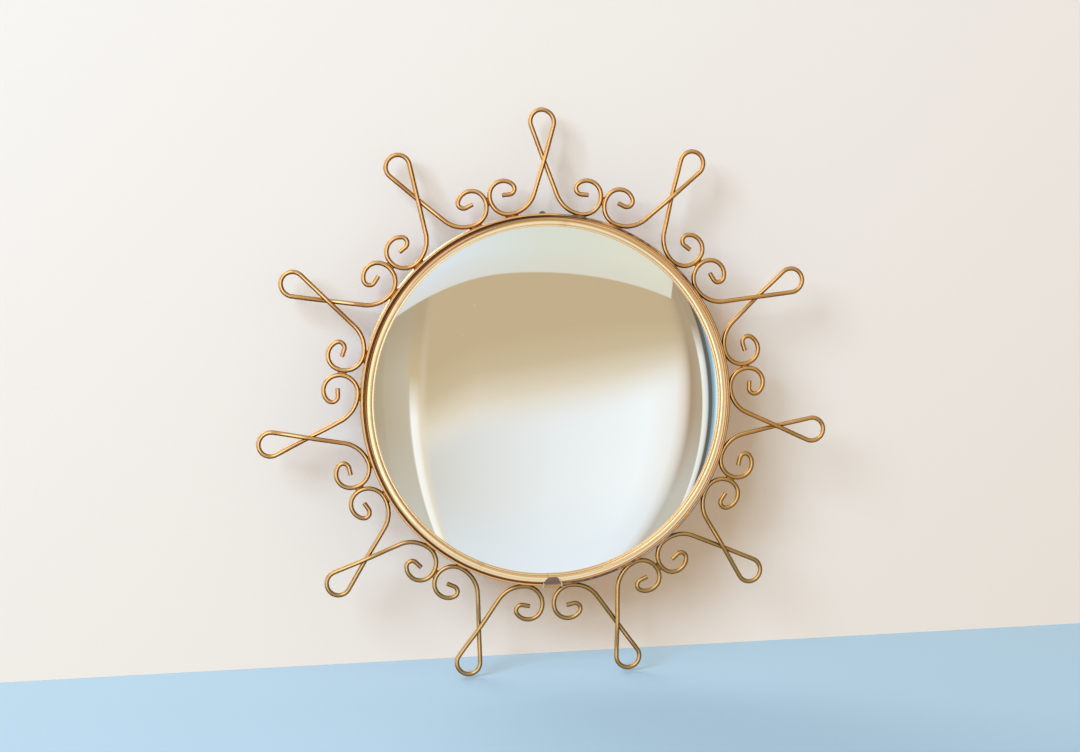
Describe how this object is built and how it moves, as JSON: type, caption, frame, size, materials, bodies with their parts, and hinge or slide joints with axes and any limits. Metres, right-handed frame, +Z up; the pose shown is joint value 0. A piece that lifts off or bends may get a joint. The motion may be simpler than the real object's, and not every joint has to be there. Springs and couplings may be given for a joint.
{
  "type": "sunburst mirror",
  "caption": "Round convex wall mirror in a rolled gilt moulding, ringed by looped and scrolled wire rays brazed to a hoop, with a swinging ring to hang it by.",
  "frame": {"origin": "on the ring's axis, in the plane of the hoop's back edge, which rests on the wall", "axes": "+X right and +Z up as the mirror hangs; the front faces -Y and +Y points into the wall"},
  "size_m": [0.4172, 0.0449, 0.4118],
  "materials": {
    "silvered_glass": "polished, silvered behind",
    "gilt_moulding": "pale gilt, lightly worn",
    "gilt_strip": "gilt, worn and tarnished in patches",
    "gilt_wire": "warm gilt with brown tarnish",
    "worn_clip": "plating worn to dark metal",
    "braze": "dull, as brazed and gilt over",
    "felt": "pressed felt",
    "hardboard": "smooth brown hardboard",
    "steel": "dark, lightly oxidised",
    "rivet": "dull"
  },
  "bodies": {
    "mirror_body": {"mirror_glass": "silvered_glass", "bezel_ring": "gilt_moulding", "ray_hoop": "gilt_strip", "seam_clip": "worn_clip", "foot_braze_joints": "braze", "scroll_braze_joints": "braze", "packing_ring": "felt", "backing_board": "hardboard", "retaining_tabs": "steel", "hanger_strap": "steel", "hanger_rivets": "rivet", "ray_wire_01": "gilt_wire", "ray_wire_02": "gilt_wire", "ray_wire_03": "gilt_wire", "ray_wire_04": "gilt_wire", "ray_wire_05": "gilt_wire", "ray_wire_06": "gilt_wire", "ray_wire_07": "gilt_wire", "ray_wire_08": "gilt_wire", "ray_wire_09": "gilt_wire", "ray_wire_10": "gilt_wire", "ray_wire_11": "gilt_wire"},
    "hanging_ring": {"hanger_ring": "steel"}
  },
  "joints": [
    {"name": "ring_swing", "type": "hinge", "parent": "mirror_body", "child": "hanging_ring", "pos_m": [-0.002, -0.00232, 0.1124], "axis": [1, 0, 0], "range_deg": [0, 180]}
  ]
}
